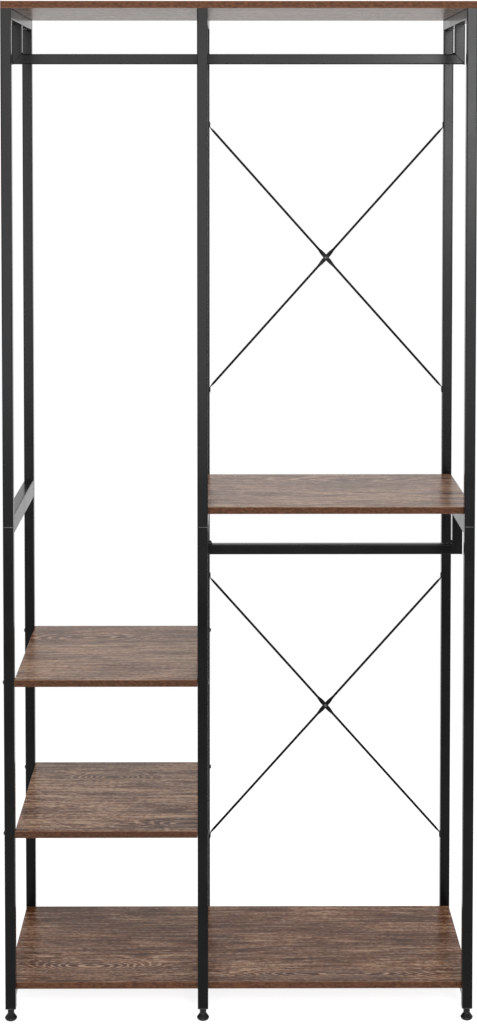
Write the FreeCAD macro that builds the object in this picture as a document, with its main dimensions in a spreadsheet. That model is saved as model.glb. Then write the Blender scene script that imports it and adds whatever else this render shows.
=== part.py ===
# Free-standing clothes rack: three welded side frames of square steel tube carry five wooden boards and two
# hanging rails, crossed wire braces stiffen the back of the wide bay, and it stands on six levelling feet.
# Millimetres, +Z up, the floor at zero, the origin under the middle of the rack, the front towards -Y.
import FreeCAD, Part
import math
import os
import Sketcher

doc = FreeCAD.newDocument("clothes_rack")
rack = doc.addObject("Spreadsheet::Sheet", "Rack")

# Driving sizes
DRIVING_SIZES = {
    # The whole rack
    "width": 850.0,
    "depth": 400.0,
    "height": 1850.0,
    # Shares of the width between the outer frames, of the height, and of the lower half of the rack
    "left_bay_share": 0.4212,
    "seam_share": 0.4901,
    "lower_shelf_share": 0.38835,
    "upper_shelf_share": 0.6937,
    "low_rung_level": 42.5,
    # Square tube of the frames and the rails
    "tube_side": 19.0,
    "tube_wall": 1.2,
    "tube_corner": 2.0,
    "seam_break": 0.5,
    "mid_rung_height": 34.0,
    "mid_rung_drop": 14.7,
    "low_rung_height": 10.0,
    "cut_overrun": 2.0,
    # Boards, and the gaps that they leave to the posts
    "board_thickness": 12.7,
    "board_edge": 0.8,
    "board_side_inset": 1.5,
    "bottom_board_gap": 1.0,
    "right_shelf_gap": 5.0,
    "left_shelf_end_gap": 0.2,
    # Hanging rails: from the underside of the rung to the underside of the bar
    "top_rail_drop": 74.0,
    "lower_rail_drop": 75.0,
    "rail_plug_length": 20.0,
    # Sleeves that join the upper posts to the lower ones
    "sleeve_length": 70.0,
    "sleeve_wall": 1.2,
    "insert_fit": 0.1,
    # Crossed wire braces
    "rod_diameter": 4.0,
    "brace_rise_share": 0.5599,
    "upper_brace_share": 0.4968,
    "lower_brace_share": 0.505,
    "flat_thickness": 2.0,
    "flat_width": 7.5,
    "flat_length": 38.0,
    "flat_start": 9.0,
    "flat_taper": 9.0,
    "tab_thickness": 2.0,
    "tab_width": 10.0,
    "tab_length": 22.0,
    "tab_lead": 8.0,
    # Screws, bolts and nuts
    "screw_shank": 4.0,
    "screw_head": 8.0,
    "screw_head_height": 2.6,
    "screw_head_round": 1.8,
    "screw_bite": 9.0,
    "side_screw_bite": 18.0,
    "brace_screw_bite": 7.0,
    "screw_room": 0.1,
    "screw_spread": 286.0,
    "bolt_shank": 6.0,
    "bolt_head": 10.0,
    "bolt_head_height": 4.0,
    "bolt_head_round": 0.8,
    "bolt_access": 12.0,
    "nut_across": 7.0,
    "nut_height": 3.2,
    "nut_overhang": 1.0,
    # Levelling feet and the threaded plugs that they turn in
    "foot_height": 23.0,
    "foot_base_radius": 6.5,
    "foot_disc_radius": 11.3,
    "foot_disc_level": 7.5,
    "foot_cone_top": 14.5,
    "foot_collar_radius": 6.1,
    "stud_radius": 4.0,
    "stud_seat": 6.0,
    "stud_reach": 22.0,
    "stud_fit": 0.05,
    "plug_lip": 1.5,
    "plug_length": 20.0,
}
for row, (alias, size) in enumerate(DRIVING_SIZES.items(), 1):
    rack.set(f"A{row}", str(size))
    rack.setAlias(f"A{row}", alias)
doc.recompute()

# Levels and places that follow from the driving sizes, as formulas of the sheet
HALF_TUBE = "(Rack.tube_side / 2)"
TUBE_BORE = "(Rack.tube_side - 2 * Rack.tube_wall)"
INSERT_SIDE = f"({TUBE_BORE} - 2 * Rack.insert_fit)"
SCREW_HOLE = "(Rack.screw_shank + 2 * Rack.screw_room)"
BOLT_HOLE = "(Rack.bolt_shank + 2 * Rack.screw_room)"
STUD_HOLE = "(2 * (Rack.stud_radius + Rack.stud_fit))"
LEFT_X = "((Rack.tube_side - Rack.width) / 2)"
LEFT_BAY_PITCH = "((Rack.width - Rack.tube_side) * Rack.left_bay_share)"
MIDDLE_X = f"({LEFT_X} + {LEFT_BAY_PITCH})"
RIGHT_X = "((Rack.width - Rack.tube_side) / 2)"
FRONT_Y = "((Rack.tube_side - Rack.depth) / 2)"
REAR_Y = "((Rack.depth - Rack.tube_side) / 2)"
INNER_DEPTH = "(Rack.depth - 2 * Rack.tube_side)"
POST_BOTTOM = "(Rack.foot_height + Rack.plug_lip)"
POST_TOP = "(Rack.height - Rack.board_thickness)"
SEAM_LEVEL = "(Rack.height * Rack.seam_share)"
UPPER_SHELF_LEVEL = f"({SEAM_LEVEL} * Rack.upper_shelf_share)"
LOWER_SHELF_LEVEL = f"({SEAM_LEVEL} * Rack.lower_shelf_share)"
UPPER_BRACE_LEVEL = f"({SEAM_LEVEL} + ({POST_TOP} - {SEAM_LEVEL}) * Rack.upper_brace_share)"
LOWER_BRACE_LEVEL = f"({POST_BOTTOM} + ({SEAM_LEVEL} - {POST_BOTTOM}) * Rack.lower_brace_share)"
BRACE_RISE = f"(({POST_TOP} - {SEAM_LEVEL}) * Rack.brace_rise_share)"
TOP_RUNG_FOOT = f"({POST_TOP} - Rack.tube_side)"
MID_RUNG_FOOT = f"({SEAM_LEVEL} - Rack.mid_rung_drop)"
MID_RUNG_TOP = f"({MID_RUNG_FOOT} + Rack.mid_rung_height)"
LOW_RUNG_TOP = "(Rack.low_rung_level + Rack.low_rung_height)"
LEFT_BAY_LENGTH = f"({LEFT_BAY_PITCH} - Rack.tube_side)"

FRAMES = {"left": LEFT_X, "middle": MIDDLE_X, "right": RIGHT_X}
POST_ROWS = {"front": FRONT_Y, "rear": REAR_Y}
SCREW_ROWS = ("(-Rack.screw_spread / 2)", "(Rack.screw_spread / 2)")
LEFT_SHELVES = {"upper": UPPER_SHELF_LEVEL, "lower": LOWER_SHELF_LEVEL}
BRACES = {"upper": UPPER_BRACE_LEVEL, "lower": LOWER_BRACE_LEVEL}

AXIS_X = FreeCAD.Vector(1, 0, 0)
AXIS_Y = FreeCAD.Vector(0, 1, 0)
AXIS_Z = FreeCAD.Vector(0, 0, 1)
# Turns that point a screw, drawn with its shank down, the other ways
POINT_UP = FreeCAD.Rotation(AXIS_X, 180)
POINT_RIGHT = FreeCAD.Rotation(AXIS_Y, -90)
POINT_LEFT = FreeCAD.Rotation(AXIS_Y, 90)
POINT_BACK = FreeCAD.Rotation(AXIS_X, 90)
POINT_DOWN = FreeCAD.Rotation()

sub_parts = []


def value(formula):
    """Work out a formula of the sheet as a plain number."""
    result = rack.evalExpression(formula)
    return float(getattr(result, "Value", result))


def point(across, up):
    """A point of a sketch from two formulas."""
    return FreeCAD.Vector(value(across), value(up), 0)


def place(item, x="0", y="0", z="0", turn=None):
    """Put an item at a place given by formulas, after an optional turn."""
    if turn is not None:
        item.Placement = FreeCAD.Placement(FreeCAD.Vector(), turn)
    for axis, formula in zip("xyz", (x, y, z)):
        item.setExpression(f"Placement.Base.{axis}", formula)


def new_body(label):
    """Start an empty body with its own label."""
    body = doc.addObject("PartDesign::Body", label)
    body.Label = label
    return body


def sketch_on(body, role, across="0", up="0", lift="0", turn=None):
    """Start a sketch on one of the body's own planes, moved in the plane, lifted off it and turned in it."""
    sketch = body.newObject("Sketcher::SketchObject", "Sketch")
    plane = next(item for item in body.Origin.OriginFeatures if item.Role == role)
    sketch.AttachmentSupport = [(plane, "")]
    sketch.MapMode = "FlatFace"
    if turn is not None:
        sketch.AttachmentOffset = FreeCAD.Placement(FreeCAD.Vector(), FreeCAD.Rotation(AXIS_Z, value(turn)))
    for axis, formula in zip("xyz", (across, up, lift)):
        sketch.setExpression(f"AttachmentOffset.Base.{axis}", formula)
    if turn is not None:
        sketch.setExpression("AttachmentOffset.Rotation.Angle", turn)
    return sketch


def measure(sketch, kind, formula, *ends):
    """Add a size to a sketch and bind it to a formula."""
    index = sketch.addConstraint(Sketcher.Constraint(kind, *ends, value(formula)))
    sketch.setExpression(f"Constraints[{index}]", formula)


def tie(sketch, kind, *ends):
    """Add a relation without a size to a sketch."""
    sketch.addConstraint(Sketcher.Constraint(kind, *ends))


def draw_loop(sketch, corners):
    """Draw straight lines round a closed loop of corners and join their ends."""
    count = len(corners)
    for start in range(count):
        sketch.addGeometry(Part.LineSegment(corners[start], corners[(start + 1) % count]))
    for start in range(count):
        tie(sketch, "Coincident", start, 2, (start + 1) % count, 1)


def draw_rectangle(sketch, across, up):
    """Draw a rectangle centred on the sketch's origin."""
    low_across, low_up = f"(-{across} / 2)", f"(-{up} / 2)"
    high_across, high_up = f"({across} / 2)", f"({up} / 2)"
    draw_loop(sketch, [
        point(low_across, low_up),
        point(high_across, low_up),
        point(high_across, high_up),
        point(low_across, high_up),
    ])
    for side, kind in enumerate(("Horizontal", "Vertical", "Horizontal", "Vertical")):
        tie(sketch, kind, side)
    tie(sketch, "Symmetric", 0, 1, 1, 2, -1, 1)
    measure(sketch, "DistanceX", across, 0, 1, 0, 2)
    measure(sketch, "DistanceY", up, 1, 1, 1, 2)


def draw_corner(sketch, leg):
    """Draw a right triangle with its square corner on the sketch's origin and two equal legs."""
    draw_loop(sketch, [point("0", "0"), point(leg, "0"), point("0", leg)])
    tie(sketch, "Coincident", 0, 1, -1, 1)
    tie(sketch, "Horizontal", 0)
    tie(sketch, "Vertical", 2)
    measure(sketch, "DistanceX", leg, 0, 1, 0, 2)
    measure(sketch, "DistanceY", leg, 2, 2, 2, 1)


def draw_circle(sketch, diameter):
    """Draw a circle on the sketch's origin."""
    circle = sketch.addGeometry(Part.Circle(FreeCAD.Vector(), AXIS_Z, value(diameter) / 2))
    tie(sketch, "Coincident", circle, 3, -1, 1)
    measure(sketch, "Diameter", diameter, circle)


def draw_slot(sketch, across, up):
    """Draw an upright slot with round ends, centred on the sketch's origin."""
    radius = value(across) / 2
    reach = value(up) / 2 - radius
    top = Part.Circle(FreeCAD.Vector(0, reach, 0), AXIS_Z, radius)
    foot = Part.Circle(FreeCAD.Vector(0, -reach, 0), AXIS_Z, radius)
    sketch.addGeometry(Part.ArcOfCircle(top, 0, math.pi))
    sketch.addGeometry(Part.LineSegment(FreeCAD.Vector(-radius, reach, 0), FreeCAD.Vector(-radius, -reach, 0)))
    sketch.addGeometry(Part.ArcOfCircle(foot, math.pi, 2 * math.pi))
    sketch.addGeometry(Part.LineSegment(FreeCAD.Vector(radius, -reach, 0), FreeCAD.Vector(radius, reach, 0)))
    for edge in range(4):
        tie(sketch, "Tangent", edge, 2, (edge + 1) % 4, 1)
    tie(sketch, "Vertical", 1)
    tie(sketch, "Equal", 0, 2)
    tie(sketch, "Symmetric", 0, 3, 2, 3, -1, 1)
    measure(sketch, "Radius", f"({across} / 2)", 0)
    measure(sketch, "DistanceY", f"({up} - {across})", 2, 3, 0, 3)


def pad(body, sketch, length, side="One side", downwards=False):
    """Raise a sketch into a solid."""
    feature = body.newObject("PartDesign::Pad", "Pad")
    feature.Profile = sketch
    feature.SideType = side
    feature.Reversed = downwards
    feature.setExpression("Length", length)
    return feature


def cut(body, sketch, depth=None, side="One side", onwards=False):
    """Cut a sketch out of the body, to a depth or right through, and make sure that it removed something."""
    doc.recompute()
    volume_before = body.Shape.Volume
    feature = body.newObject("PartDesign::Pocket", "Pocket")
    feature.Profile = sketch
    feature.SideType = side
    feature.Reversed = onwards
    if depth is None:
        feature.Type = "ThroughAll"
    else:
        feature.setExpression("Length", depth)
    doc.recompute()
    if not body.Shape.Volume < volume_before:
        raise ValueError(f"a cut in {body.Label} removed nothing")
    return feature


def drill(body, role, diameter, across="0", up="0", lift="0", depth=None, side="One side", onwards=False):
    """Drill a round hole square to one of the body's planes."""
    sketch = sketch_on(body, role, across, up, lift)
    draw_circle(sketch, diameter)
    return cut(body, sketch, depth, side, onwards)


def dress_edges(body, kind, size_name, size, wanted):
    """Round or break those edges of the body's last feature that the test picks."""
    doc.recompute()
    base = body.Tip
    names = [f"Edge{number}" for number, edge in enumerate(base.Shape.Edges, 1) if wanted(edge)]
    feature = body.newObject(kind, "Edges")
    feature.Base = (base, names)
    feature.setExpression(size_name, size)


def round_edges(body, radius, wanted):
    """Round the edges that the test picks."""
    dress_edges(body, "PartDesign::Fillet", "Radius", radius, wanted)


def break_edges(body, leg, wanted):
    """Cut a small flat along the edges that the test picks."""
    dress_edges(body, "PartDesign::Chamfer", "Size", leg, wanted)


def runs_along_z(edge):
    """Tell whether an edge is parallel to the body's Z axis."""
    run = edge.Vertexes[-1].Point - edge.Vertexes[0].Point
    return run.cross(AXIS_Z).Length < edge.Length * Part.Precision.confusion()


def tube(label, length, across="Rack.tube_side", along="Rack.tube_side", wall="Rack.tube_wall",
         broken_end=None):
    """Make a rectangular tube with rounded corners up its own Z axis, one end's rim broken if asked."""
    body = new_body(label)
    outline = sketch_on(body, "XY_Plane")
    draw_rectangle(outline, across, along)
    pad(body, outline, length)
    round_edges(body, "Rack.tube_corner", runs_along_z)
    if broken_end is not None:
        halfway = value(length) / 2
        below = broken_end == "lower"
        break_edges(body, "Rack.seam_break",
                    lambda edge: not runs_along_z(edge) and (edge.CenterOfMass.z < halfway) == below)
    bore = sketch_on(body, "XY_Plane")
    draw_rectangle(bore, f"({across} - 2 * {wall})", f"({along} - 2 * {wall})")
    cut(body, bore, side="Symmetric")
    return body


def copies(label, pattern, places):
    """Make one sub-part of separate copies of a pattern, each at formulas for x, y and z and with its turn."""
    doc.recompute()
    solids = []
    for x, y, z, turn in places:
        solid = pattern.Shape.copy()
        solid.Placement = FreeCAD.Placement(FreeCAD.Vector(value(x), value(y), value(z)), turn)
        solids.append(solid)
    group = doc.addObject("Part::Feature", label)
    group.Label = label
    group.Shape = Part.makeCompound(solids)
    sub_parts.append(group)


def screw(label, length, shank="Rack.screw_shank", head="Rack.screw_head",
          head_height="Rack.screw_head_height", head_round="Rack.screw_head_round"):
    """Make a round-headed screw: its head bears on the origin, its shank points down."""
    body = new_body(label)
    head_outline = sketch_on(body, "XY_Plane")
    draw_circle(head_outline, head)
    pad(body, head_outline, head_height)
    level = value(head_height)
    round_edges(body, head_round, lambda edge: edge.CenterOfMass.z > level / 2 and edge.Closed)
    shank_outline = sketch_on(body, "XY_Plane")
    draw_circle(shank_outline, shank)
    pad(body, shank_outline, length, downwards=True)
    return body


# Side frames
# A rung runs from the front post to the rear one: its own Z axis points back and its own -Y axis points up.
ALONG_DEPTH = FreeCAD.Rotation(AXIS_X, -90)


def post(label, frame_x, row_y, foot, top, seam_end):
    """Make one upright tube of a side frame, with a broken rim where it meets its other half."""
    body = tube(label, f"({top} - {foot})", broken_end=seam_end)
    place(body, frame_x, row_y, foot)
    sub_parts.append(body)
    return body


def rung(label, frame_x, foot, tall):
    """Make one cross tube of a side frame, welded between the posts."""
    body = tube(label, INNER_DEPTH, along=tall)
    place(body, frame_x, f"(-{INNER_DEPTH} / 2)", f"({foot} + {tall} / 2)", ALONG_DEPTH)
    sub_parts.append(body)
    return body


def drill_for_screws(body):
    """Drill a rung for the two screws that come up through it into the board on top."""
    for row in SCREW_ROWS:
        drill(body, "XZ_Plane", SCREW_HOLE, up=f"({INNER_DEPTH} / 2 + {row})", side="Symmetric")


def drill_for_rail(body):
    """Drill a rung for a rail bolt: the bolt's own hole below and a wide hole for the key above."""
    middle = f"({INNER_DEPTH} / 2)"
    drill(body, "XZ_Plane", BOLT_HOLE, up=middle)
    drill(body, "XZ_Plane", "Rack.bolt_access", up=middle, onwards=True)


posts = {}
rungs = {}
for frame, frame_x in FRAMES.items():
    for row, row_y in POST_ROWS.items():
        upper = post(f"{frame}_upper_{row}_post", frame_x, row_y, SEAM_LEVEL, POST_TOP, "lower")
        lower = post(f"{frame}_lower_{row}_post", frame_x, row_y, POST_BOTTOM, SEAM_LEVEL, "upper")
        posts[frame, row] = {"upper": upper, "lower": lower}
    rungs[frame] = {
        "top": rung(f"{frame}_top_rung", frame_x, TOP_RUNG_FOOT, "Rack.tube_side"),
        "mid": rung(f"{frame}_mid_rung", frame_x, MID_RUNG_FOOT, "Rack.mid_rung_height"),
        "bottom": rung(f"{frame}_bottom_rung", frame_x, "Rack.low_rung_level", "Rack.low_rung_height"),
    }
    for level in ("top", "mid", "bottom"):
        drill_for_screws(rungs[frame][level])

for frame in ("left", "right"):
    drill_for_rail(rungs[frame]["top"])
for frame in ("middle", "right"):
    drill_for_rail(rungs[frame]["mid"])

# The screws of the left shelves pass right through the lower posts of the left and middle frames
for frame in ("left", "middle"):
    for row in POST_ROWS:
        for level in LEFT_SHELVES.values():
            hole_level = f"({level} - Rack.board_thickness / 2 - {POST_BOTTOM})"
            drill(posts[frame, row]["lower"], "YZ_Plane", SCREW_HOLE, up=hole_level, side="Symmetric")

# The brace screws go into the walls that face the wide bay: right on the middle frame, left on the right one.
# The rising rods lie in front: they start low on the middle frame and end high on the right one.
POST_FEET = {"upper": SEAM_LEVEL, "lower": POST_BOTTOM}
ROD_ENDS = {("middle", "-"): "-", ("right", "+"): "-", ("middle", "+"): "+", ("right", "-"): "+"}
ROD_OFFSET = "Rack.flat_thickness / 2"
for half, brace_level in BRACES.items():
    for (frame, rise_sign), row_sign in ROD_ENDS.items():
        hole_level = f"({brace_level} {rise_sign} {BRACE_RISE} / 2 - {POST_FEET[half]})"
        drill(posts[frame, "rear"][half], "YZ_Plane", SCREW_HOLE, f"({row_sign} {ROD_OFFSET})", hole_level,
              onwards=frame == "middle")

# Square sleeves inside the posts, half above the seam and half below it
sleeve = tube("sleeve_pattern", "Rack.sleeve_length", INSERT_SIDE, INSERT_SIDE, "Rack.sleeve_wall")
copies("post_sleeves", sleeve, [
    (frame_x, row_y, f"({SEAM_LEVEL} - Rack.sleeve_length / 2)", POINT_DOWN)
    for frame_x in FRAMES.values() for row_y in POST_ROWS.values()
])


# Boards
def board(label, length, deep, x, foot):
    """Make a flat board with lightly rounded edges, its underside on the given level."""
    body = new_body(label)
    outline = sketch_on(body, "XY_Plane")
    draw_rectangle(outline, length, deep)
    pad(body, outline, "Rack.board_thickness")
    round_edges(body, "Rack.board_edge", lambda edge: True)
    place(body, x, z=foot)
    sub_parts.append(body)
    return body


def drill_from_below(body, board_x, frame_x):
    """Drill a board's underside for the two screws that come up through a frame's rung."""
    for row in SCREW_ROWS:
        drill(body, "XY_Plane", SCREW_HOLE, f"({frame_x} - {board_x})", row,
              depth="(Rack.screw_bite + Rack.screw_room)", onwards=True)


RUNG_BOARD_LENGTH = "(Rack.width - 2 * Rack.board_side_inset)"
RIGHT_SHELF_LENGTH = f"(Rack.width - {LEFT_BAY_PITCH} - 2 * Rack.board_side_inset)"
RIGHT_SHELF_X = f"(({MIDDLE_X} + {RIGHT_X}) / 2)"
LEFT_SHELF_X = f"(({LEFT_X} + {MIDDLE_X}) / 2)"
LEFT_SHELF_LENGTH = f"({LEFT_BAY_LENGTH} - 2 * Rack.left_shelf_end_gap)"

top_board = board("top_board", "Rack.width", "Rack.depth", "0", POST_TOP)
bottom_board = board("bottom_board", RUNG_BOARD_LENGTH, f"({INNER_DEPTH} - 2 * Rack.bottom_board_gap)",
                     "0", LOW_RUNG_TOP)
right_shelf = board("right_shelf", RIGHT_SHELF_LENGTH, f"({INNER_DEPTH} - 2 * Rack.right_shelf_gap)",
                    RIGHT_SHELF_X, MID_RUNG_TOP)
for frame_x in FRAMES.values():
    drill_from_below(top_board, "0", frame_x)
    drill_from_below(bottom_board, "0", frame_x)
for frame_x in (MIDDLE_X, RIGHT_X):
    drill_from_below(right_shelf, RIGHT_SHELF_X, frame_x)

SIDE_SCREW_HOLE_DEPTH = "(Rack.side_screw_bite + Rack.screw_room)"
MID_BOARD = "(Rack.board_thickness / 2)"
for name, level in LEFT_SHELVES.items():
    shelf = board(f"{name}_left_shelf", LEFT_SHELF_LENGTH, "Rack.depth", LEFT_SHELF_X,
                  f"({level} - Rack.board_thickness)")
    for row_y in POST_ROWS.values():
        drill(shelf, "YZ_Plane", SCREW_HOLE, row_y, MID_BOARD, f"(-{LEFT_SHELF_LENGTH} / 2)",
              SIDE_SCREW_HOLE_DEPTH, onwards=True)
        drill(shelf, "YZ_Plane", SCREW_HOLE, row_y, MID_BOARD, f"({LEFT_SHELF_LENGTH} / 2)",
              SIDE_SCREW_HOLE_DEPTH)

# Screws that hold the boards
top_screw = screw("top_screw_pattern", "(Rack.tube_side + Rack.screw_bite)")
copies("top_board_screws", top_screw, [
    (frame_x, row, TOP_RUNG_FOOT, POINT_UP) for frame_x in FRAMES.values() for row in SCREW_ROWS
])
bottom_screw = screw("bottom_screw_pattern", "(Rack.low_rung_height + Rack.screw_bite)")
copies("bottom_board_screws", bottom_screw, [
    (frame_x, row, "Rack.low_rung_level", POINT_UP) for frame_x in FRAMES.values() for row in SCREW_ROWS
])
mid_screw = screw("mid_screw_pattern", "(Rack.mid_rung_height + Rack.screw_bite)")
copies("right_shelf_screws", mid_screw, [
    (frame_x, row, MID_RUNG_FOOT, POINT_UP) for frame_x in (MIDDLE_X, RIGHT_X) for row in SCREW_ROWS
])
side_screw = screw("side_screw_pattern", "(Rack.tube_side + Rack.side_screw_bite)")
side_places = []
for level in LEFT_SHELVES.values():
    screw_level = f"({level} - Rack.board_thickness / 2)"
    for row_y in POST_ROWS.values():
        side_places.append((f"({LEFT_X} - {HALF_TUBE})", row_y, screw_level, POINT_RIGHT))
        side_places.append((f"({MIDDLE_X} + {HALF_TUBE})", row_y, screw_level, POINT_LEFT))
copies("left_shelf_screws", side_screw, side_places)


# Hanging rails
# A bar lies across the rack: its own Z axis points right and its own -X axis points up.
ALONG_WIDTH = FreeCAD.Rotation(AXIS_Y, 90)
MITRE_LEG = "(Rack.tube_side + 2 * Rack.cut_overrun)"
MITRE_EDGE = f"({HALF_TUBE} + Rack.cut_overrun)"


def mitre(body, across, up, turn):
    """Cut the end of a rail tube at half a right angle: the triangle's square corner is outside the tube."""
    sketch = sketch_on(body, "XZ_Plane", across, up, turn=turn)
    draw_corner(sketch, MITRE_LEG)
    cut(body, sketch, side="Symmetric")


def hanging_rail(name, left_x, right_x, rung_foot, drop):
    """Make a U-shaped rail of a bar and two legs, mitred at the corners, under the rungs of two frames."""
    bar_length = f"({right_x} - {left_x} + Rack.tube_side)"
    bar_level = f"({rung_foot} - {drop})"
    bar = tube(f"{name}_bar", bar_length)
    mitre(bar, f"(-{MITRE_EDGE})", "(-Rack.cut_overrun)", "0")
    mitre(bar, f"(-{MITRE_EDGE})", f"({bar_length} + Rack.cut_overrun)", "270")
    place(bar, f"({left_x} - {HALF_TUBE})", z=f"({bar_level} + {HALF_TUBE})", turn=ALONG_WIDTH)
    left_leg = tube(f"{name}_left_leg", drop)
    mitre(left_leg, MITRE_EDGE, "(-Rack.cut_overrun)", "90")
    place(left_leg, left_x, z=bar_level)
    right_leg = tube(f"{name}_right_leg", drop)
    mitre(right_leg, f"(-{MITRE_EDGE})", "(-Rack.cut_overrun)", "0")
    place(right_leg, right_x, z=bar_level)
    sub_parts.extend((bar, left_leg, right_leg))


hanging_rail("top_rail", LEFT_X, RIGHT_X, TOP_RUNG_FOOT, "Rack.top_rail_drop")
hanging_rail("lower_rail", MIDDLE_X, RIGHT_X, MID_RUNG_FOOT, "Rack.lower_rail_drop")

# Threaded plugs in the tops of the rail legs, and the bolts that reach them from inside the rungs
RAIL_LEGS = (
    (LEFT_X, TOP_RUNG_FOOT),
    (RIGHT_X, TOP_RUNG_FOOT),
    (MIDDLE_X, MID_RUNG_FOOT),
    (RIGHT_X, MID_RUNG_FOOT),
)
rail_plug = new_body("rail_plug_pattern")
rail_plug_outline = sketch_on(rail_plug, "XY_Plane")
draw_rectangle(rail_plug_outline, INSERT_SIDE, INSERT_SIDE)
pad(rail_plug, rail_plug_outline, "Rack.rail_plug_length", downwards=True)
drill(rail_plug, "XY_Plane", BOLT_HOLE, side="Symmetric")
copies("rail_leg_plugs", rail_plug, [(leg_x, "0", level, POINT_DOWN) for leg_x, level in RAIL_LEGS])
rail_bolt = screw("rail_bolt_pattern", "(Rack.tube_wall + Rack.rail_plug_length)", "Rack.bolt_shank",
                  "Rack.bolt_head", "Rack.bolt_head_height", "Rack.bolt_head_round")
copies("rail_bolts", rail_bolt, [
    (leg_x, "0", f"({level} + Rack.tube_wall)", POINT_DOWN) for leg_x, level in RAIL_LEGS
])

# Crossed wire braces
BRACE_SPAN = f"({RIGHT_X} - {MIDDLE_X} - Rack.tube_side)"
BRACE_X = RIGHT_SHELF_X
ROD_RADIUS = "(Rack.rod_diameter / 2)"
ROD_AIM_X = f"({BRACE_SPAN} / 2 - Rack.tab_thickness / 2 - {ROD_RADIUS})"
BRACE_SLOPE = f"atan(({BRACE_RISE} / 2 - Rack.tab_lead) / {ROD_AIM_X})"
ROD_END_X = f"({BRACE_SPAN} / 2 - Rack.tab_thickness / 2 - {ROD_RADIUS} * sin({BRACE_SLOPE}))"
ROD_REACH = f"({ROD_END_X} / cos({BRACE_SLOPE}))"
FLAT_ARC_RADIUS = "((Rack.flat_length ^ 2 + Rack.flat_width ^ 2) / (4 * Rack.flat_width))"


def draw_lens(sketch):
    """Draw two equal arcs that meet at points on the sketch's X axis: the outline of a pressed flat."""
    half_length = "(Rack.flat_length / 2)"
    half_width = "(Rack.flat_width / 2)"
    left_end, right_end = point(f"(-{half_length})", "0"), point(half_length, "0")
    sketch.addGeometry(Part.Arc(right_end, point("0", half_width), left_end))
    sketch.addGeometry(Part.Arc(left_end, point("0", f"(-{half_width})"), right_end))
    tie(sketch, "Coincident", 0, 2, 1, 1)
    tie(sketch, "Coincident", 1, 2, 0, 1)
    tie(sketch, "Symmetric", 0, 1, 0, 2, -1, 1)
    tie(sketch, "PointOnObject", 0, 1, -1)
    tie(sketch, "Equal", 0, 1)
    measure(sketch, "DistanceX", "Rack.flat_length", 0, 2, 0, 1)
    measure(sketch, "Radius", FLAT_ARC_RADIUS, 0)


def draw_half_rod(sketch):
    """Draw half the section of a rod on the sketch's X axis: a taper out of the flat, then the plain rod."""
    half_flat = "(Rack.flat_thickness / 2)"
    taper_end = "(Rack.flat_start + Rack.flat_taper)"
    draw_loop(sketch, [
        point("Rack.flat_start", "0"),
        point(ROD_REACH, "0"),
        point(ROD_REACH, ROD_RADIUS),
        point(taper_end, ROD_RADIUS),
        point("Rack.flat_start", half_flat),
    ])
    tie(sketch, "PointOnObject", 0, 1, -1)
    tie(sketch, "Horizontal", 0)
    tie(sketch, "Vertical", 1)
    tie(sketch, "Horizontal", 2)
    tie(sketch, "Vertical", 4)
    measure(sketch, "DistanceX", "Rack.flat_start", -1, 1, 0, 1)
    measure(sketch, "DistanceX", ROD_REACH, -1, 1, 0, 2)
    measure(sketch, "DistanceX", taper_end, -1, 1, 2, 2)
    measure(sketch, "DistanceY", ROD_RADIUS, 1, 1, 1, 2)
    measure(sketch, "DistanceY", half_flat, 4, 2, 4, 1)


def brace(label, level, row_sign, turn):
    """Make one brace: a rod pressed flat in the middle, where two cross, and at its ends into drilled tabs."""
    body = new_body(label)
    flat = sketch_on(body, "XZ_Plane", turn=BRACE_SLOPE)
    draw_lens(flat)
    pad(body, flat, "Rack.flat_thickness", side="Symmetric")
    section = sketch_on(body, "XZ_Plane", turn=BRACE_SLOPE)
    draw_half_rod(section)
    rod = body.newObject("PartDesign::Revolution", "Rod")
    rod.Profile = section
    rod.ReferenceAxis = (section, ["H_Axis"])
    tab_outline = sketch_on(body, "YZ_Plane", up=f"({BRACE_RISE} / 2)",
                            lift=f"({BRACE_SPAN} / 2 - Rack.tab_thickness)")
    draw_slot(tab_outline, "Rack.tab_width", "Rack.tab_length")
    draw_circle(tab_outline, SCREW_HOLE)
    tab = pad(body, tab_outline, "Rack.tab_thickness")
    halves = body.newObject("PartDesign::PolarPattern", "Halves")
    halves.Originals = [rod, tab]
    across_brace = next(item for item in body.Origin.OriginFeatures if item.Role == "Y_Axis")
    halves.Axis = (across_brace, [""])
    halves.Occurrences = 2
    body.Tip = halves
    drill(body, "XZ_Plane", SCREW_HOLE, side="Symmetric")
    place(body, BRACE_X, f"({REAR_Y} {row_sign} {ROD_OFFSET})", level, turn)
    sub_parts.append(body)


for name, level in BRACES.items():
    brace(f"{name}_brace_rising", level, "-", FreeCAD.Rotation())
    brace(f"{name}_brace_falling", level, "+", FreeCAD.Rotation(AXIS_Z, 180))

# Screws at the ends of the braces, each in the middle of its own tab
brace_screw = screw("brace_screw_pattern", "(Rack.tab_thickness + Rack.tube_wall + Rack.brace_screw_bite)")
TAB_FACES = {
    "middle": (f"({BRACE_X} - {BRACE_SPAN} / 2 + Rack.tab_thickness)", POINT_LEFT),
    "right": (f"({BRACE_X} + {BRACE_SPAN} / 2 - Rack.tab_thickness)", POINT_RIGHT),
}
brace_screw_places = []
for level in BRACES.values():
    for (frame, rise_sign), row_sign in ROD_ENDS.items():
        tab_face, turn = TAB_FACES[frame]
        screw_level = f"({level} {rise_sign} {BRACE_RISE} / 2)"
        brace_screw_places.append((tab_face, f"({REAR_Y} {row_sign} {ROD_OFFSET})", screw_level, turn))
copies("brace_end_screws", brace_screw, brace_screw_places)

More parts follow.
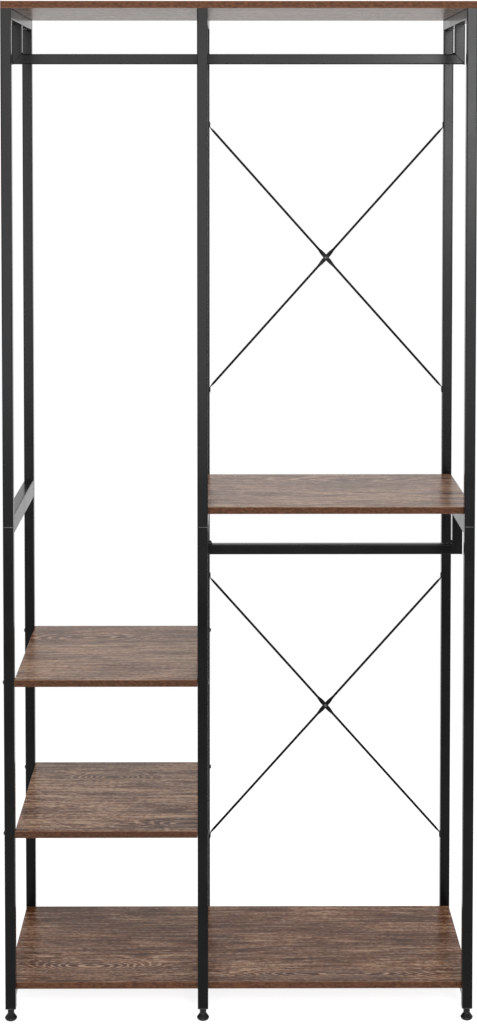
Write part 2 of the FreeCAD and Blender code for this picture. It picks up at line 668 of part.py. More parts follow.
# A bolt and a nut through the pressed flats where two braces cross
cross_bolt = screw("cross_bolt_pattern", "(2 * Rack.flat_thickness + Rack.nut_height + Rack.nut_overhang)")
copies("brace_cross_bolts", cross_bolt, [
    (BRACE_X, f"({REAR_Y} - Rack.flat_thickness)", level, POINT_BACK) for level in BRACES.values()
])
nut_block = doc.addObject("Part::Prism", "nut_block")
nut_block.Polygon = 6
nut_block.setExpression("Circumradius", "Rack.nut_across / (2 * cos(30))")
nut_block.setExpression("Height", "Rack.nut_height")
nut_hole = doc.addObject("Part::Cylinder", "nut_hole")
nut_hole.setExpression("Radius", f"{SCREW_HOLE} / 2")
nut_hole.setExpression("Height", "Rack.nut_height")
nut = doc.addObject("Part::Cut", "nut_pattern")
nut.Base = nut_block
nut.Tool = nut_hole
copies("brace_cross_nuts", nut, [
    (BRACE_X, f"({REAR_Y} + Rack.flat_thickness + Rack.nut_height)", level, POINT_BACK)
    for level in BRACES.values()
])


# Levelling feet
def draw_foot(sketch):
    """Draw half the section of a foot: flat sole, round rim, cone and a collar with the stud's socket."""
    disc_rim = point("Rack.foot_disc_radius", "Rack.foot_disc_level")
    sole_edge = point("Rack.foot_base_radius", "0")
    run = value("Rack.foot_disc_radius - Rack.foot_base_radius")
    rise = value("Rack.foot_disc_level")
    rim_radius = (run ** 2 + rise ** 2) / (2 * run)
    rim = Part.Circle(FreeCAD.Vector(disc_rim.x - rim_radius, disc_rim.y, 0), AXIS_Z, rim_radius)
    corners = [
        disc_rim,
        point("Rack.foot_collar_radius", "Rack.foot_cone_top"),
        point("Rack.foot_collar_radius", "Rack.foot_height"),
        point("Rack.stud_radius + Rack.stud_fit", "Rack.foot_height"),
        point("Rack.stud_radius + Rack.stud_fit", "Rack.stud_seat"),
        point("0", "Rack.stud_seat"),
        point("0", "0"),
        sole_edge,
    ]
    for start, end in zip(corners, corners[1:]):
        sketch.addGeometry(Part.LineSegment(start, end))
    arc = sketch.addGeometry(Part.ArcOfCircle(rim, rim.parameter(sole_edge), 2 * math.pi))
    for line in range(arc):
        tie(sketch, "Coincident", line, 2, line + 1, 1)
    tie(sketch, "Coincident", arc, 2, 0, 1)
    for line in range(1, arc):
        tie(sketch, "Vertical" if line % 2 else "Horizontal", line)
    tie(sketch, "Coincident", 5, 2, -1, 1)
    tie(sketch, "Horizontal", arc, 3, arc, 2)
    measure(sketch, "DistanceX", "Rack.foot_base_radius", 6, 1, 6, 2)
    measure(sketch, "DistanceX", "Rack.foot_disc_radius", -1, 1, 0, 1)
    measure(sketch, "DistanceY", "Rack.foot_disc_level", -1, 1, 0, 1)
    measure(sketch, "DistanceX", "Rack.foot_collar_radius", -1, 1, 0, 2)
    measure(sketch, "DistanceY", "Rack.foot_cone_top", -1, 1, 0, 2)
    measure(sketch, "DistanceY", "Rack.foot_height", -1, 1, 1, 2)
    measure(sketch, "DistanceX", "Rack.stud_radius + Rack.stud_fit", -1, 1, 2, 2)
    measure(sketch, "DistanceY", "Rack.stud_seat", 5, 2, 5, 1)


def foot(name, frame_x, row_y):
    """Make one levelling foot: a moulded pad, and the threaded stud that stands in it."""
    body = new_body(f"{name}_foot_pad")
    section = sketch_on(body, "XZ_Plane")
    draw_foot(section)
    turned = body.newObject("PartDesign::Revolution", "Turned")
    turned.Profile = section
    turned.ReferenceAxis = (section, ["V_Axis"])
    place(body, frame_x, row_y)
    stud = doc.addObject("Part::Cylinder", f"{name}_foot_stud")
    stud.Label = f"{name}_foot_stud"
    stud.setExpression("Radius", "Rack.stud_radius")
    stud.setExpression("Height", "Rack.foot_height - Rack.stud_seat + Rack.stud_reach")
    place(stud, frame_x, row_y, "Rack.stud_seat")
    sub_parts.extend((body, stud))


for frame, frame_x in FRAMES.items():
    for row, row_y in POST_ROWS.items():
        foot(f"{frame}_{row}", frame_x, row_y)

# Threaded plugs pressed into the feet of the posts, with a lip that covers the end of the tube
foot_plug = new_body("foot_plug_pattern")
lip_outline = sketch_on(foot_plug, "XY_Plane")
draw_rectangle(lip_outline, "Rack.tube_side", "Rack.tube_side")
pad(foot_plug, lip_outline, "Rack.plug_lip")
round_edges(foot_plug, "Rack.tube_corner", runs_along_z)
stem_outline = sketch_on(foot_plug, "XY_Plane")
draw_rectangle(stem_outline, INSERT_SIDE, INSERT_SIDE)
pad(foot_plug, stem_outline, "(Rack.plug_lip + Rack.plug_length)")
drill(foot_plug, "XY_Plane", STUD_HOLE, side="Symmetric")
copies("foot_plugs", foot_plug, [
    (frame_x, row_y, "Rack.foot_height", POINT_DOWN)
    for frame_x in FRAMES.values() for row_y in POST_ROWS.values()
])

# Check every object, then write each sub-part to its own file
doc.recompute()
for item in doc.Objects:
    if "Invalid" in item.State or "Error" in item.State:
        raise ValueError(f"{item.Label} did not build: {item.State}")
for item in sub_parts:
    if item.Shape.isNull() or not item.Shape.isValid():
        raise ValueError(f"{item.Label} has no valid shape")
os.makedirs("parts", exist_ok=True)
for item in sub_parts:
    item.Shape.exportStep(f"parts/{item.Label}.step")
print(f"{len(sub_parts)} sub-parts, {sum(len(item.Shape.Solids) for item in sub_parts)} solids")
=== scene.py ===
# %% [markdown]
# # A clothes rack of black tube and brown boards
# Three welded side frames of square steel tube carry five boards, two hanging rails and two wire crosses, and stand on
# six screw feet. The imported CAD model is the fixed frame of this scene. It gives every tube and board its true size
# and place, so the work left for Blender is the finish of each surface and the small forms that catch the light.

# %% Load the frame
import math

import bpy
import numpy as np
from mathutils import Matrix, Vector


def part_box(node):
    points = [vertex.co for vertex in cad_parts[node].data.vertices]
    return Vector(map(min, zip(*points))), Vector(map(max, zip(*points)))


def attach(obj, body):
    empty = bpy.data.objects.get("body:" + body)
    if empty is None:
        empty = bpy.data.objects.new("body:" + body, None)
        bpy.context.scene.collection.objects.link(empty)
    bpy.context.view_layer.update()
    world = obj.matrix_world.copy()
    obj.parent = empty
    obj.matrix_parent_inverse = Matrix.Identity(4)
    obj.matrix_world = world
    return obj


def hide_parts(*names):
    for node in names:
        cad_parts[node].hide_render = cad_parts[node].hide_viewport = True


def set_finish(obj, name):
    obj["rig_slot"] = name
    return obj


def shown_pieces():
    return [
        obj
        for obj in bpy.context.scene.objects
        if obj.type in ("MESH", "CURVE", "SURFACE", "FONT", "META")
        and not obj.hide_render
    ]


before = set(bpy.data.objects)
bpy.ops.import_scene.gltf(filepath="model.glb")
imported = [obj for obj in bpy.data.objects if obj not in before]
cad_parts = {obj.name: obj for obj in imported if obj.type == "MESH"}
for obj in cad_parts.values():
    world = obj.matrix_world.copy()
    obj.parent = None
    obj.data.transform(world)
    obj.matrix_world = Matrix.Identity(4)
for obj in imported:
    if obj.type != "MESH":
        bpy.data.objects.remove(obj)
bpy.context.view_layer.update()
MM = 0.001

# %% [markdown]
# ## Camera
# The photograph looks almost straight at the rack from near head height, through a long lens, so the shelf tops show
# as narrow bands and the underside of the top board just shows. Tilting a camera down to reach the feet makes upright
# posts lean. Shifting the picture on the sensor keeps them upright, as a view camera does, so most of the drop is a
# shift and only a little is tilt.

# %% Place the camera
LENS = 70.43
EYE = (-0.0212, -3.7756, 1.6137)
TILT_DOWN, TURN = math.radians(2.611), math.radians(-0.254)
SHIFT = (0.0024, -0.28)

lens = bpy.data.cameras.new("front_camera")
lens.lens = LENS
lens.shift_x, lens.shift_y = SHIFT
camera = bpy.data.objects.new("front_camera", lens)
camera.location = EYE
camera.rotation_euler = (math.pi / 2 - TILT_DOWN, 0, TURN)
bpy.context.scene.collection.objects.link(camera)
bpy.context.scene.camera = camera
bpy.context.scene.view_settings.view_transform = "Standard"
print(f"camera {-EYE[1]:.2f} m in front of the rack's middle, {EYE[2]:.2f} m up")

# %% [markdown]
# ## Skins from arrays
# Rods, screws, feet and weld beads have no flat faces to start from, so each is written as a formula of two numbers:
# one along the piece, one round it. NumPy works the formula out for the whole grid at once. What is left is to join
# the rings of points with quads, to close the two ends, and to see that the faces point outwards.

# %% Join rings of points into a closed skin
def skin(rings, loop=False):
    """Points and faces over rings[row, column]: each ring joins the next with quads, and its last column the first.

    With loop, the last ring joins the first. Otherwise the end rings shrink to one point each, closed by fans. The
    volume is a sixth of the sum of a.(b x c) over all triangles: where it is negative, the faces are turned round.
    """
    rows, columns = rings.shape[:2]
    if loop:
        points = rings.reshape(-1, 3)
        corner = np.arange(rows * columns).reshape(rows, columns)
        corner = np.vstack([corner, corner[:1]])
    else:
        points = np.vstack([rings[0].mean(0), rings[1:-1].reshape(-1, 3), rings[-1].mean(0)])
        corner = np.arange(1, len(points) - 1).reshape(rows - 2, columns)
    beside = np.roll(corner, -1, axis=1)
    quads = np.stack([corner[:-1], beside[:-1], beside[1:], corner[1:]], axis=-1).reshape(-1, 4)
    triangles = np.vstack([quads[:, [0, 1, 2]], quads[:, [0, 2, 3]]])
    fans = np.zeros((0, 3), int)
    if not loop:
        first = np.stack([np.zeros(columns, int), beside[0], corner[0]], axis=-1)
        last = np.stack([corner[-1], beside[-1], np.full(columns, len(points) - 1)], axis=-1)
        fans = np.vstack([first, last])
        triangles = np.vstack([triangles, fans])
    a, b, c = np.moveaxis(points[triangles], 1, 0)
    if np.einsum("ij,ij->", a, np.cross(b, c)) < 0:
        quads, fans = quads[:, ::-1], fans[:, ::-1]
    return points, quads, fans


# %% Make a piece of the rack from one or more skins
def new_piece(name, skins, body, slot, stands_for=(), crease=35):
    """A mesh piece at the origin that rides on a body, takes a material slot and stands for CAD nodes.

    Faces that meet at more than the crease angle, in degrees, keep a sharp edge; the rest are shaded smooth.
    """
    starts = np.cumsum([0] + [len(points) for points, _, _ in skins])
    corners = np.vstack([points for points, _, _ in skins])
    faces = []
    for start, (_, quads, fans) in zip(starts, skins):
        faces += (quads + start).tolist() + (fans + start).tolist()
    mesh = bpy.data.meshes.new(name)
    mesh.from_pydata(corners.tolist(), [], faces)
    mesh.shade_smooth()
    mesh.set_sharp_from_angle(angle=math.radians(crease))
    piece = bpy.data.objects.new(name, mesh)
    bpy.context.scene.collection.objects.link(piece)
    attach(piece, body)
    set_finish(piece, slot)
    if stands_for:
        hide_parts(*stands_for)
    print(f"{name}: {len(faces)} faces on {body}")
    return piece


def edges_of(node):
    """Lowest and highest corner of a CAD node as arrays."""
    low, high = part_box(node)
    return np.array(low), np.array(high)


def ease(value, start, end):
    """0 before start, 1 after end, and 3t^2 - 2t^3 of the share t of the way between."""
    t = np.clip((value - start) / (end - start), 0, 1)
    return t * t * (3 - 2 * t)


# %% [markdown]
# ## Wire braces
# Each cross at the back is two rods of round wire. Where they cross they are pressed flat, so that they lie on each
# other under one bolt, and at the ends they are pressed the other way into tabs that lie on the posts. A bevelled
# curve keeps one section all along, so it can't do this. A sweep can: the path is straight, then bends against the
# post, and the section is an oval whose two widths change along the way.

# %% Sizes of a brace
# Widths and thicknesses are halves, as in the formula of the oval.
WIRE = 2.3 * MM
CROSS_WIDE, CROSS_THIN = 4.1 * MM, 1.0 * MM
CROSS_FLAT, CROSS_ROUND = 8 * MM, 25 * MM
TAB_WIDE, TAB_THIN, TAB_LONG, TAB_SPARE = 4.5 * MM, 0.6 * MM, 11 * MM, 2.5 * MM
BEND, PRESS_RUN = 7 * MM, 10 * MM
ROUND_POWER, PRESSED_POWER, TIP_POWER = 2, 4.5, 10
CROSS_ROWS, STRAIGHT_ROWS, BEND_ROWS, TIP_ROWS, ROUND_COLUMNS = 24, 8, 36, 12, 28


# %% Sweep a brace
def brace_path(reach, rise):
    """Distances, headings and places along half a brace, from the crossing to the tip, and where the bend and tip are.

    The heading stays at the rod's slope, turns evenly to straight up along a bend, then stays; the place is the sum of
    the small steps along the heading.
    """
    bend_x, bend_z = reach - TAB_THIN, rise - TAB_LONG
    slope = math.atan2(bend_z, bend_x)
    turn = math.pi / 2 - slope
    cut = BEND * math.tan(turn / 2)
    straight = math.hypot(bend_x, bend_z) - cut
    tip = straight + BEND * turn + (rise - bend_z - cut)
    tip_steps = tip - TAB_WIDE * (1 - np.sin(np.linspace(0, math.pi / 2, TIP_ROWS)))
    along = np.concatenate([
        np.linspace(0, CROSS_ROUND, CROSS_ROWS),
        np.linspace(CROSS_ROUND, straight - PRESS_RUN, STRAIGHT_ROWS)[1:],
        np.linspace(straight - PRESS_RUN, tip - TAB_WIDE, BEND_ROWS)[1:],
        tip_steps[1:]])
    heading = slope + turn * np.clip((along - straight) / (BEND * turn), 0, 1)
    middle = (heading[1:] + heading[:-1]) / 2
    steps = np.diff(along)[:, None] * np.stack([np.cos(middle), np.sin(middle)], axis=-1)
    places = np.vstack([[0, 0], np.cumsum(steps, axis=0)])
    return along, heading, places, straight, tip


def brace_rings(node, way):
    """Rings of one brace. The section is the oval |u/a|^p + |v/b|^p = 1, with u in the plane of the cross, v along Y.

    a and b pass from a flat in the middle to a circle and on to the tab. p is 2 where the wire is round and 4.5 where
    it is pressed. At the tab's tip b falls as a half circle. The other half of the rod is the same, turned half round.
    """
    low, high = edges_of(node)
    centre, half = (low + high) / 2, (high - low) / 2
    along, heading, places, straight, tip = brace_path(half[0], half[2] - TAB_SPARE)
    crossing = 1 - ease(along, CROSS_FLAT, CROSS_ROUND)
    tab = ease(along, straight - PRESS_RUN, straight + PRESS_RUN / 2)
    tip_share = np.clip((along - tip + TAB_WIDE) / TAB_WIDE, 0, 1)
    a = WIRE + (CROSS_WIDE - WIRE) * crossing + (TAB_THIN - WIRE) * tab
    b = WIRE + (CROSS_THIN - WIRE) * crossing + (TAB_WIDE - WIRE) * tab
    a, b = a * np.sqrt(1 - tip_share**TIP_POWER), b * np.sqrt(1 - tip_share**2)
    power = ROUND_POWER + (PRESSED_POWER - ROUND_POWER) * np.maximum(crossing, tab)

    round_angle = np.linspace(0, 2 * math.pi, ROUND_COLUMNS, endpoint=False)
    cosine, sine = np.cos(round_angle), np.sin(round_angle)
    bend = (2 / power)[:, None]
    u = a[:, None] * np.sign(cosine) * np.abs(cosine)**bend
    v = b[:, None] * np.sign(sine) * np.abs(sine)**bend
    across = np.stack([-np.sin(heading), np.cos(heading)], axis=-1)
    flat_half = places[:, None] + u[:, :, None] * across[:, None]
    other_half = -places[::-1, None] + u[::-1, :, None] * across[::-1, None]
    plane = np.concatenate([other_half[:-1], flat_half])
    depth = np.concatenate([v[::-1][:-1], v])
    return centre + np.stack([way * plane[..., 0], depth, plane[..., 1]], axis=-1)


for level in ("upper", "lower"):
    for name, way in (("rising", 1), ("falling", -1)):
        node = f"{level}_brace_{name}"
        new_piece(f"{node}_wire", [skin(brace_rings(node, way))], "rack", "brace_metal", [node])

# %% [markdown]
# ## Screws with a cross recess
# The screws that hold the left shelves and the bolts at the crossings have round heads with a cross for the driver.
# The screws in the brace ends have thin wafer heads that hardly stand off the tab. Cutting a cross with a boolean
# leaves long thin faces. A lathe whose height also depends on the angle needs no cut: wherever a point of the head is
# within the cross, it is pushed down.

# %% Sizes of a screw
HEAD, SHANK, SEAT_EDGE = 4.0 * MM, 2.0 * MM, 0.1 * MM
ROUND_HIGH, WAFER_HIGH, CROWN_POWER = 2.6 * MM, 0.5 * MM, 2.6
SIDE_SCREW_LONG, TAB_SCREW_LONG, CROSS_BOLT_LONG = 37 * MM, 10.2 * MM, 8.2 * MM
TAB_SCREW_IN = 1.3 * TAB_WIDE
CROSS_REACH, CROSS_ARM, CROSS_DEEP_SHARE = 2.3 * MM, 0.55 * MM, 0.58
ARM_FADE, REACH_FADE = (0.8 * CROSS_ARM, 1.2 * CROSS_ARM), (0.85 * CROSS_REACH, CROSS_REACH)
CROWN_ROWS, SCREW_COLUMNS = 26, 64
GOLDEN_TURN = math.pi * (3 - math.sqrt(5))


# %% Turn a screw
def screw_rings(length, high):
    """Rings of a screw along +Z with its head's seat at 0, from the middle of the recess round to the tip.

    The crown is (r/R)^2.6 + (z/h)^2 = 1. The recess takes off a depth that fades at the arms' sides, where the smaller
    of |x| and |y| passes the arm's half width, and towards their ends.
    """
    crown = HEAD * np.sin(np.linspace(0, math.pi / 2, CROWN_ROWS))**0.9
    radius = np.concatenate([crown, [HEAD, 0.97 * HEAD, SHANK, SHANK, 0.6 * SHANK, 0]])
    crown_height = high * np.sqrt(np.clip(1 - (crown / HEAD)**CROWN_POWER, 0, 1))
    height = np.concatenate([crown_height, [SEAT_EDGE, 0, 0, 2 * SHANK - length, -length, -length]])
    turn = np.linspace(0, 2 * math.pi, SCREW_COLUMNS, endpoint=False)
    x, y = radius[:, None] * np.cos(turn), radius[:, None] * np.sin(turn)
    arm = 1 - ease(np.minimum(np.abs(x), np.abs(y)), *ARM_FADE)
    reach = 1 - ease(np.hypot(x, y), *REACH_FADE)
    depth = CROSS_DEEP_SHARE * high * arm * reach * (1 - 0.5 * np.hypot(x, y) / CROSS_REACH)
    depth[len(crown):] = 0
    return np.stack([x, y, height[:, None] - depth], axis=-1)


def set_screw(rings, place, outward, number):
    """The rings turned so that +Z points outward, spun by a turn of its own, and moved to a place."""
    turned = np.array(Vector(outward).to_track_quat("Z", "Y").to_matrix())
    spin = number * GOLDEN_TURN
    flat = np.array([[math.cos(spin), -math.sin(spin), 0], [math.sin(spin), math.cos(spin), 0], [0, 0, 1]])
    return rings @ (turned @ flat).T + np.array(place)


# %% Screws in the ends of the left shelves
side_screw = screw_rings(SIDE_SCREW_LONG, ROUND_HIGH)
shelf_screws = []
for shelf in ("upper_left_shelf", "lower_left_shelf"):
    level = sum(edges_of(shelf))[2] / 2
    for row in ("front", "rear"):
        for side, face, outward in (("left", 0, -1), ("middle", 1, 1)):
            post = edges_of(f"{side}_lower_{row}_post")
            place = (post[face][0], sum(post)[1] / 2, level)
            shelf_screws.append(skin(set_screw(side_screw, place, (outward, 0, 0), len(shelf_screws))))
new_piece("shelf_side_screws", shelf_screws, "rack", "black_screws", ["left_shelf_screws"])

# %% Screws in the brace tabs and bolts at the crossings
tab_screw, cross_bolt = screw_rings(TAB_SCREW_LONG, WAFER_HIGH), screw_rings(CROSS_BOLT_LONG, ROUND_HIGH)
tab_screws, bolts = [], []
for level in ("upper", "lower"):
    for name, left_end in (("rising", 0), ("falling", 1)):
        box = edges_of(f"{level}_brace_{name}")
        middle_y = sum(box)[1] / 2
        tab_levels = (box[0][2] + TAB_SPARE + TAB_SCREW_IN, box[1][2] - TAB_SPARE - TAB_SCREW_IN)
        for end, outward in ((0, 1), (1, -1)):
            place = (box[end][0] + outward * 2 * TAB_THIN, middle_y, tab_levels[(left_end + end) % 2])
            tab_screws.append(skin(set_screw(tab_screw, place, (outward, 0, 0), len(tab_screws))))
    crossing = sum(edges_of(f"{level}_brace_rising")) / 2
    crossing[1] -= CROSS_THIN
    bolts.append(skin(set_screw(cross_bolt, crossing, (0, -1, 0), len(bolts) + 1)))
new_piece("brace_tab_screws", tab_screws, "rack", "black_screws", ["brace_end_screws"])
new_piece("brace_crossing_bolts", bolts, "rack", "black_screws", ["brace_cross_bolts"])

# %% [markdown]
# ## Screw feet
# Each post ends in a plug with a threaded hole, and a foot screws into it: a glossy moulded pad on a steel stud. The
# pad is a lathe shape. Its profile is drawn with straight runs and one arc, then a moving average rounds every corner
# by about the same amount, as a mould does. The stud's thread is a lathe shape too, but its radius follows a
# zigzag that climbs by one pitch in each turn.

# %% Sizes of a foot
SOLE, RIM, RIM_LEVEL, CONE_TOP, COLLAR, BORE = 6.5 * MM, 11.3 * MM, 5.4 * MM, 12.8 * MM, 6.1 * MM, 4.1 * MM
HOLLOW_INSIDE, HOLLOW_OUTSIDE, HOLLOW_DEEP = 0.62 * SOLE, 0.7 * SOLE, 0.5 * MM
RIM_IN, RIM_UP = 0.1 * MM, 0.5 * MM
STUD, THREAD_DEEP, PITCH = 4.0 * MM, 0.55 * MM, 1.25 * MM
FLANK, CREST, END_SHARE, END_GAIN = 2.4, 0.1, 0.78, 0.22
STEP, SOFTEN = 0.12 * MM, 11
UNDER_ROWS, PITCH_ROWS, FOOT_COLUMNS, STUD_COLUMNS = 24, 6, 72, 36


# %% Turn a foot pad
def pad_rings(height, seat):
    """Rings of a pad: a profile of radius and height, carried round the axis.

    The sole is a little hollow. The rim's underside is an arc that leaves the sole and stands upright at the rim. The
    profile is cut into even steps and each point replaced by the mean of its neighbours.
    """
    bulge = ((RIM - SOLE)**2 + RIM_LEVEL**2) / (2 * (RIM - SOLE))
    lower = np.linspace(-math.asin(RIM_LEVEL / bulge), 0, UNDER_ROWS)
    under = np.stack([RIM - bulge + bulge * np.cos(lower), RIM_LEVEL + bulge * np.sin(lower)], axis=-1)
    corners = np.vstack([
        [[0, HOLLOW_DEEP], [HOLLOW_INSIDE, HOLLOW_DEEP], [HOLLOW_OUTSIDE, 0]], under,
        [[RIM - RIM_IN, RIM_LEVEL + RIM_UP], [COLLAR, CONE_TOP], [COLLAR, height],
         [BORE, height], [BORE, seat], [0, seat]]])
    travelled = np.concatenate([[0], np.cumsum(np.hypot(*np.diff(corners, axis=0).T))])
    even = np.arange(0, travelled[-1], STEP)
    profile = np.stack([np.interp(even, travelled, column) for column in corners.T], axis=-1)
    padded = np.pad(profile, ((SOFTEN // 2, SOFTEN // 2), (0, 0)), mode="edge")
    soft = np.stack([np.convolve(column, np.full(SOFTEN, 1 / SOFTEN), "valid") for column in padded.T], axis=-1)
    turn = np.linspace(0, 2 * math.pi, FOOT_COLUMNS, endpoint=False)
    radius, level = soft[:, :1], np.repeat(soft[:, 1:], FOOT_COLUMNS, axis=1)
    return np.stack([radius * np.cos(turn), radius * np.sin(turn), level], axis=-1)


# %% Turn a threaded stud
def stud_rings(bottom, top):
    """Rings of a stud: the radius is the stud's less a depth times a zigzag of (height / pitch - turn).

    The crests and the roots of the zigzag are cut flat. Both ends taper over one pitch, so that the thread runs out.
    """
    level = np.linspace(bottom, top, int((top - bottom) / (PITCH / PITCH_ROWS)))[:, None]
    turn = np.linspace(0, 2 * math.pi, STUD_COLUMNS, endpoint=False)
    phase = (level / PITCH - turn / (2 * math.pi)) % 1
    zigzag = np.clip(FLANK * np.abs(phase - 0.5) - CREST, 0, 1)
    taper = ease(np.minimum(level - bottom, top - level), 0, PITCH)
    radius = (STUD - THREAD_DEEP * zigzag) * (END_SHARE + END_GAIN * taper)
    return np.stack([radius * np.cos(turn), radius * np.sin(turn), level + 0 * turn], axis=-1)


# %% Put a foot under each post
for side in ("left", "middle", "right"):
    for row in ("front", "rear"):
        foot = f"{side}_{row}_foot"
        low, high = edges_of(f"{foot}_pad")
        stud_low, stud_high = edges_of(f"{foot}_stud")
        axis = np.array([(low[0] + high[0]) / 2, (low[1] + high[1]) / 2, low[2]])
        pad = skin(pad_rings(high[2] - low[2], stud_low[2] - low[2]) + axis)
        stud = skin(stud_rings(stud_low[2] - low[2], stud_high[2] - low[2]) + axis)
        new_piece(f"{foot}_moulded_pad", [pad], foot, "foot_plastic", [f"{foot}_pad"], crease=60)
        new_piece(f"{foot}_threaded_stud", [stud], foot, "stud_steel", [f"{foot}_stud"])

# %% [markdown]
# ## Welds
# The rungs are welded between the posts. The rails are welded at their mitres and ground on the outside, which leaves
# a faint ridge, but in the inner corner the weld stays as a fat bead. Paint covers all of it. A bead is a sweep along
# a corner with a rippled radius, and most of it is sunk in the tubes. A ridge runs round the slanting section of the
# tube, so its path is a rounded square stretched along the slant.

# %% Weld beads in the corners between rungs and posts
BEAD, RIPPLE, RIPPLE_LONG = 1.7 * MM, 0.12, 1.5 * MM
BEAD_ROWS, BEAD_COLUMNS, BEAD_END_POWER = 90, 20, 8


def bead_rings(start, end, bead):
    """Rings along the level line from start to end, for s from -1 to 1.

    The radius is a bead's, times 1 + ripple (|sin| - 1), times the root of 1 - s^8. The size of the sine has pointed
    valleys, as between pools of metal, and the root closes the ends.
    """
    share = np.linspace(0, 1, BEAD_ROWS)[:, None]
    turn = np.linspace(0, 2 * math.pi, BEAD_COLUMNS, endpoint=False)
    length = np.linalg.norm(end - start)
    pools = 1 + RIPPLE * (np.abs(np.sin(math.pi * share * length / RIPPLE_LONG)) - 1)
    radius = bead * pools * np.sqrt(1 - (2 * share - 1)**BEAD_END_POWER)
    up = np.array([0, 0, 1])
    across = np.cross(end - start, up) / length
    centre = (start + share * (end - start))[:, None]
    return centre + radius[..., None] * (np.cos(turn)[:, None] * across + np.sin(turn)[:, None] * up)


beads = []
for side in ("left", "middle", "right"):
    for rung, edge in (("top", 0), ("mid", 1), ("bottom", 0)):
        box = edges_of(f"{side}_{rung}_rung")
        for row in (0, 1):
            ends = [np.array([x, box[row][1], box[edge][2]]) for x in (box[0][0] + BEAD, box[1][0] - BEAD)]
            beads.append(skin(bead_rings(*ends, BEAD)))
new_piece("rung_weld_beads", beads, "rack", "frame_metal")

# %% Ground ridges and inner beads at the rails' mitres
TUBE_CORNER = 2.0 * MM
RIDGE_HIGH, RIDGE_WIDE = 0.30 * MM, 0.8 * MM
CORNER_STEPS, RIDGE_COLUMNS = 8, 10
RAIL_BEADS = {"top_rail": 3.0 * MM, "lower_rail": 6.0 * MM}


def ridge_rings(centre, side, lean, high, wide):
    """Rings round a square tube with round corners. The path climbs by lean for each step in X: 1 or -1 at a mitre.

    Each ring is a low oval: high along the path's outward direction, wide square to the path's plane.
    """
    quarter = np.repeat(np.arange(4) * math.pi / 2, CORNER_STEPS)
    angle = quarter + np.tile(np.linspace(0, math.pi / 2, CORNER_STEPS), 4)
    inner = side / 2 - TUBE_CORNER
    sign = np.sign(np.stack([np.cos(quarter + math.pi / 4), np.sin(quarter + math.pi / 4)], axis=-1))
    out = np.stack([np.cos(angle), np.sin(angle)], axis=-1)
    path = inner * sign + TUBE_CORNER * out
    turn = np.linspace(0, 2 * math.pi, RIDGE_COLUMNS, endpoint=False)
    flat = path[:, None] + high * np.cos(turn)[None, :, None] * out[:, None]
    off = wide * np.sin(turn) / math.hypot(1, lean) + 0 * flat[..., 0]
    return centre + np.stack([flat[..., 0] - off * lean, flat[..., 1], lean * flat[..., 0] + off], axis=-1)


ridges, rail_beads = [], []
for rail, bead in RAIL_BEADS.items():
    bar_low, bar_high = edges_of(f"{rail}_bar")
    for leg, lean, inside in (("left_leg", 1, 1), ("right_leg", -1, 0)):
        leg_box = edges_of(f"{rail}_{leg}")
        centre = np.array([sum(leg_box)[0] / 2, 0, (bar_low[2] + bar_high[2]) / 2])
        ridges.append(skin(ridge_rings(centre, bar_high[2] - bar_low[2], lean, RIDGE_HIGH, RIDGE_WIDE), loop=True))
        ends = [np.array([leg_box[inside][0], y, bar_high[2]]) for y in (bar_low[1] + BEAD, bar_high[1] - BEAD)]
        rail_beads.append(skin(bead_rings(*ends, bead)))
new_piece("rail_mitre_ridges", ridges, "rack", "rail_metal")
new_piece("rail_corner_beads", rail_beads, "rack", "rail_metal")

# %% [markdown]
# ## Post seams
# Each post is an upper and a lower tube pushed together over a sleeve. Where their cut ends meet, a narrow bright
# line shows. A line painted flat on the tube would lose the glint at the corners, so the two rims are one low ring,
# made by the same formula as the ridges but level. The ring's pale grey is a painted highlight.

# %% Raised rims where the post tubes meet
RIM_HIGH, RIM_WIDE = 0.25 * MM, 0.6 * MM
rims = []
for side in ("left", "middle", "right"):
    for row in ("front", "rear"):
        post_low, post_high = edges_of(f"{side}_lower_{row}_post")
        centre = np.array([*(post_low + post_high)[:2] / 2, post_high[2]])
        rims.append(skin(ridge_rings(centre, post_high[0] - post_low[0], 0, RIM_HIGH, RIM_WIDE), loop=True))
seam_rims = new_piece("post_seam_rims", rims, "rack", "frame_metal")

# %% [markdown]
# ## Fields for the finishes
# A finish such as wood is arithmetic on a position: stretch it, add noise, take a sine. Shader nodes do the sums, but
# a wired tree is hard to read as code. A small class lets the sums be written as sums. Each `Field` is one number at
# every point of a surface, and each + or * on it adds a Math node.

# %% Write node trees as sums
def connect(value, socket):
    """Links a field to a socket, or sets a plain value on the socket itself."""
    if isinstance(value, Field):
        value.tree.links.new(value.socket, socket)
    else:
        socket.default_value = value


